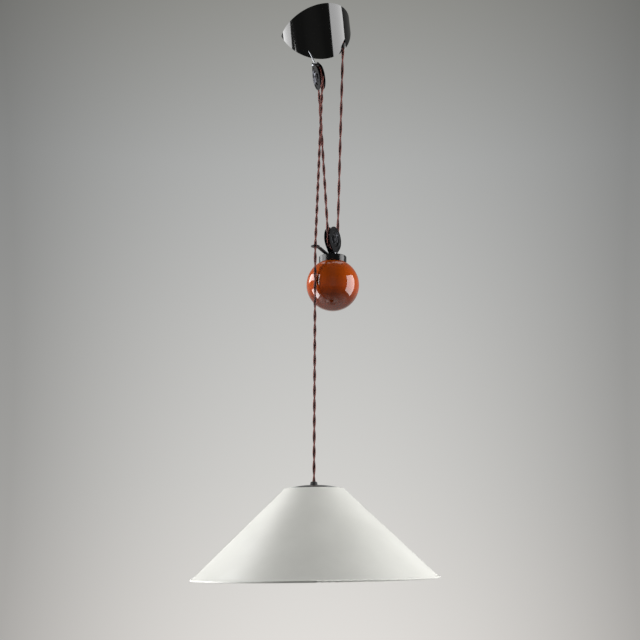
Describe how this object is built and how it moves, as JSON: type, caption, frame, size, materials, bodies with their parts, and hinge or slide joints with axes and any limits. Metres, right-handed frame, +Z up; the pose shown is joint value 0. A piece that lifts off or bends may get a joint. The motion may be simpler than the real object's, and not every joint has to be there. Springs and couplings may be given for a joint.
{
  "type": "rise and fall pendant lamp",
  "caption": "Rise and fall pendant lamp: a slanted cup canopy, two pulley blocks, a ball counterweight with a guide arm, and a wide cone shade on one twisted cord.",
  "frame": {"origin": "middle of the ceiling hook's hole in the hanger strap", "axes": "+Z up, +X to the right as seen from the front, +Y away from the viewer"},
  "size_m": [0.4999, 0.4999, 1.2654],
  "materials": {
    "black_enamel": "gloss",
    "amber_glaze": "gloss",
    "white_enamel": "gloss",
    "steel": "satin",
    "dark_steel": "satin",
    "iron_filling": "matte",
    "brass": "satin",
    "disc_aluminium": "satin",
    "flex_cloth": "matte",
    "ceramic": "matte",
    "black_plastic": "matte",
    "lamp_glass": "gloss",
    "rubber": "matte"
  },
  "bodies": {
    "canopy": {"canopy_shell": "black_enamel", "cord_bush": "rubber", "hanger_strap": "steel", "terminal_block": "ceramic", "terminal_screws": "brass", "strap_bolt": "steel", "cord_clip": "steel", "pulley_link": "steel", "upper_cheek_right": "dark_steel", "upper_cheek_left": "dark_steel", "upper_axle": "dark_steel", "upper_ear_pin": "steel", "cord_tail": "flex_cloth", "cord_canopy_run": "flex_cloth", "cord_middle_run": "flex_cloth", "cord_upper_turn": "flex_cloth", "cord_upper_run": "flex_cloth"},
    "upper_wheel": {"upper_wheel": "dark_steel"},
    "counterweight": {"counterweight_ball": "amber_glaze", "ball_ballast": "iron_filling", "ball_cap": "black_enamel", "cap_nut": "steel", "eye_bolt": "dark_steel", "guide_arm": "dark_steel", "lower_cheek_right": "dark_steel", "lower_cheek_left": "dark_steel", "lower_axle": "dark_steel", "lower_ear_pin": "steel", "cord_lower_turn": "flex_cloth", "cord_lower_run": "flex_cloth"},
    "lower_wheel": {"lower_wheel": "dark_steel"},
    "shade": {"shade": "white_enamel", "shade_disc": "steel", "clamp_plate": "steel", "nipple": "brass", "cord_grip": "black_plastic", "grip_screw": "steel", "nipple_nut": "brass", "lampholder_cap": "black_plastic", "lampholder_sleeve": "black_plastic", "lampholder_core": "ceramic", "thread_shell": "brass", "centre_contact": "brass", "lamp_screw_cap": "disc_aluminium", "lamp_glass": "lamp_glass", "cord_end": "flex_cloth"}
  },
  "joints": [
    {"name": "counterweight_slide", "type": "slide", "parent": "canopy", "child": "counterweight", "axis": [0, 0, 1], "range_m": [-0.11, 0.25], "deforming": ["cord_canopy_run", "cord_middle_run", "cord_upper_run"]},
    {"name": "upper_wheel_spin", "type": "hinge", "parent": "canopy", "child": "upper_wheel", "pos_m": [-0.0145, -0.012, -0.1395], "axis": [0.9516, 0.184, 0.2461], "range_deg": [-529, 1197]},
    {"name": "lower_wheel_spin", "type": "hinge", "parent": "counterweight", "child": "lower_wheel", "pos_m": [0.016, 0.014, -0.51445], "axis": [0.8829, -0.4695, 0], "range_deg": [-600, 266]},
    {"name": "shade_slide", "type": "slide", "parent": "counterweight", "child": "shade", "axis": [0, 0, 1], "range_m": [-0.752, 0.332], "deforming": ["cord_lower_run"]}
  ],
  "couplings": [
    {"joint": "shade_slide", "follows": "counterweight_slide", "ratio": -3},
    {"joint": "upper_wheel_spin", "follows": "counterweight_slide", "rad_per_m": 83.333},
    {"joint": "lower_wheel_spin", "follows": "counterweight_slide", "rad_per_m": -41.667}
  ]
}
